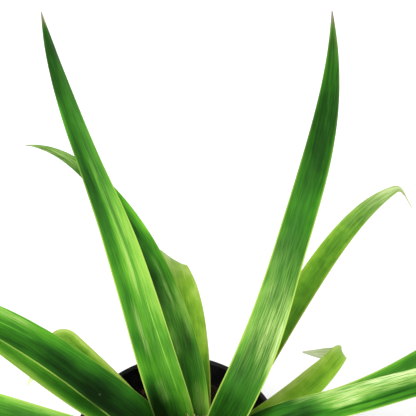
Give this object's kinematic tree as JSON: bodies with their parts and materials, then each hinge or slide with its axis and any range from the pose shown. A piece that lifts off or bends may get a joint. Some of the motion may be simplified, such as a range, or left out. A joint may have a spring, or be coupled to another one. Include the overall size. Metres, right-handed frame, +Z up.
{
  "type": "ornamental pineapple plant",
  "caption": "Potted ornamental pineapple plant: a rosette of long channelled strap leaves round a small young fruit with a leafy crown, in a round black nursery pot.",
  "frame": {"origin": "middle of the pot's flat underside, on the surface that the pot stands on", "axes": "+Z up along the pot's axis; +Y away from the picture's camera, towards the two tallest leaves; +X to the right in the picture"},
  "size_m": [0.4982, 0.4721, 0.361],
  "materials": {
    "pot_black": "satin moulded black plastic",
    "soil_dark": "rough dark potting soil of peat and bark, matt",
    "stem_green": "pale green fibrous stem, matt",
    "leaf_green": "waxy satin green leaf with fine long veins and yellow-green margins",
    "leaf_old": "faded pale yellow-green leaf with a dry papery end",
    "leaf_young": "fresh light green waxy leaf",
    "fruit_red": "waxy young fruit with pinkish red eyes",
    "crown_green": "small stiff green leaves with pinkish tips",
    "bract_pink": "thin pinkish bracts"
  },
  "bodies": {
    "root": {"pot": "pot_black", "soil": "soil_dark", "stem": "stem_green", "fruit": "fruit_red", "crown": "crown_green", "bracts": "bract_pink", "leaf_01": "leaf_green", "leaf_02": "leaf_green", "leaf_03": "leaf_green", "leaf_04": "leaf_green", "leaf_05": "leaf_green", "leaf_06": "leaf_green", "leaf_07": "leaf_green", "leaf_08": "leaf_green", "leaf_09": "leaf_green", "leaf_10": "leaf_old", "leaf_11": "leaf_old", "leaf_12": "leaf_old", "leaf_13": "leaf_young", "leaf_14": "leaf_young", "leaf_15": "leaf_green", "leaf_16": "leaf_green", "leaf_17": "leaf_green", "leaf_18": "leaf_green", "leaf_19": "leaf_green", "leaf_20": "leaf_green", "leaf_21": "leaf_green", "leaf_22": "leaf_green", "leaf_23": "leaf_green", "leaf_24": "leaf_green", "leaf_25": "leaf_green"}
  },
  "joints": []
}
